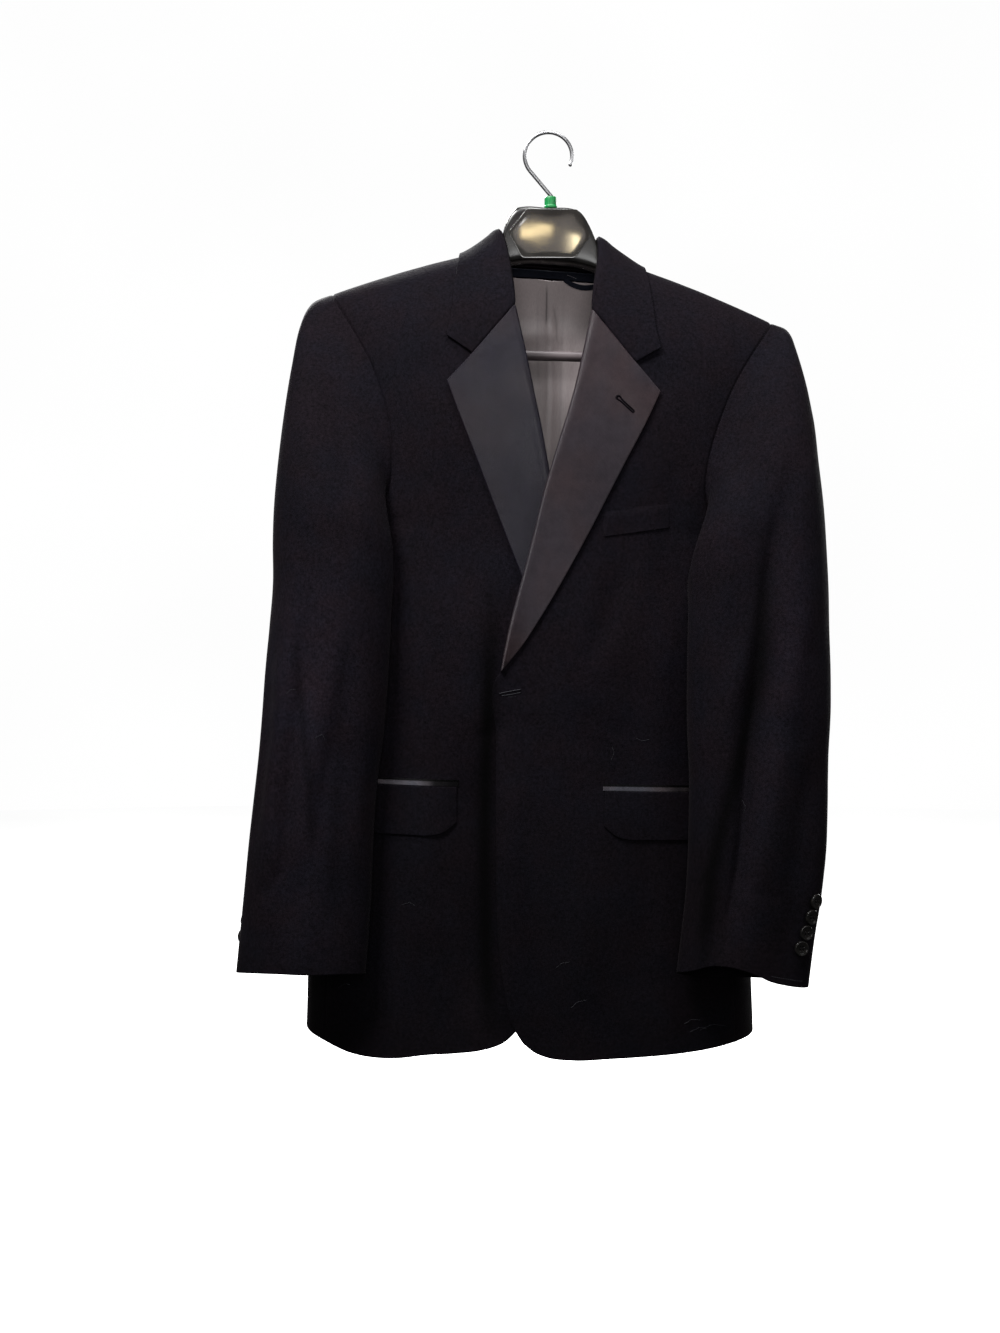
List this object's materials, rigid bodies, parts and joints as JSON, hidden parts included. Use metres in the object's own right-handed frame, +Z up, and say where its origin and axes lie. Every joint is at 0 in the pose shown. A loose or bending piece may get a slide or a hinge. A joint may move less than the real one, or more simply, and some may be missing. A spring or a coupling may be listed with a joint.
{
  "type": "tuxedo jacket on hanger",
  "caption": "Single-breasted tuxedo jacket with satin notch lapels, flap pockets and buttoned cuffs, hanging on a wide-neck coat hanger with a trouser bar and a wire hook.",
  "frame": {"origin": "inside top of the hook's bend, where the rail carries it", "axes": "+Z up; +X to the wearer's left, the viewer's right; +Y from the fronts to the back"},
  "size_m": [0.5541, 0.2114, 0.8944],
  "materials": {
    "wool": "matt worsted wool, near black",
    "satin": "finely ribbed satin with a soft sheen, black",
    "lining": "smooth lining, grey taupe",
    "ribbon": "woven ribbon, dark navy",
    "button": "polished, black",
    "black_gloss": "high gloss, black",
    "green_plastic": "moulded, green",
    "steel_wire": "plated steel wire"
  },
  "bodies": {
    "root": {"back_left": "wool", "back_lining": "lining", "back_right": "wool", "breast_welt": "wool", "collar": "wool", "front_button": "button", "front_left": "wool", "front_right": "wool", "hang_loop": "ribbon", "hanger_bar": "black_gloss", "hanger_body": "black_gloss", "hanger_bushing": "green_plastic", "hanger_hook": "steel_wire", "lapel_left": "satin", "lapel_right": "satin", "neck_facing": "ribbon", "pocket_flap_left": "wool", "pocket_flap_right": "wool", "pocket_jet_left": "satin", "pocket_jet_right": "satin", "side_left": "wool", "side_right": "wool", "sleeve_button_left_1": "button", "sleeve_button_left_2": "button", "sleeve_button_left_3": "button", "sleeve_button_left_4": "button", "sleeve_button_right_1": "button", "sleeve_button_right_2": "button", "sleeve_button_right_3": "button", "sleeve_button_right_4": "button", "top_sleeve_left": "wool", "top_sleeve_right": "wool", "under_sleeve_left": "wool", "under_sleeve_right": "wool"}
  },
  "joints": []
}
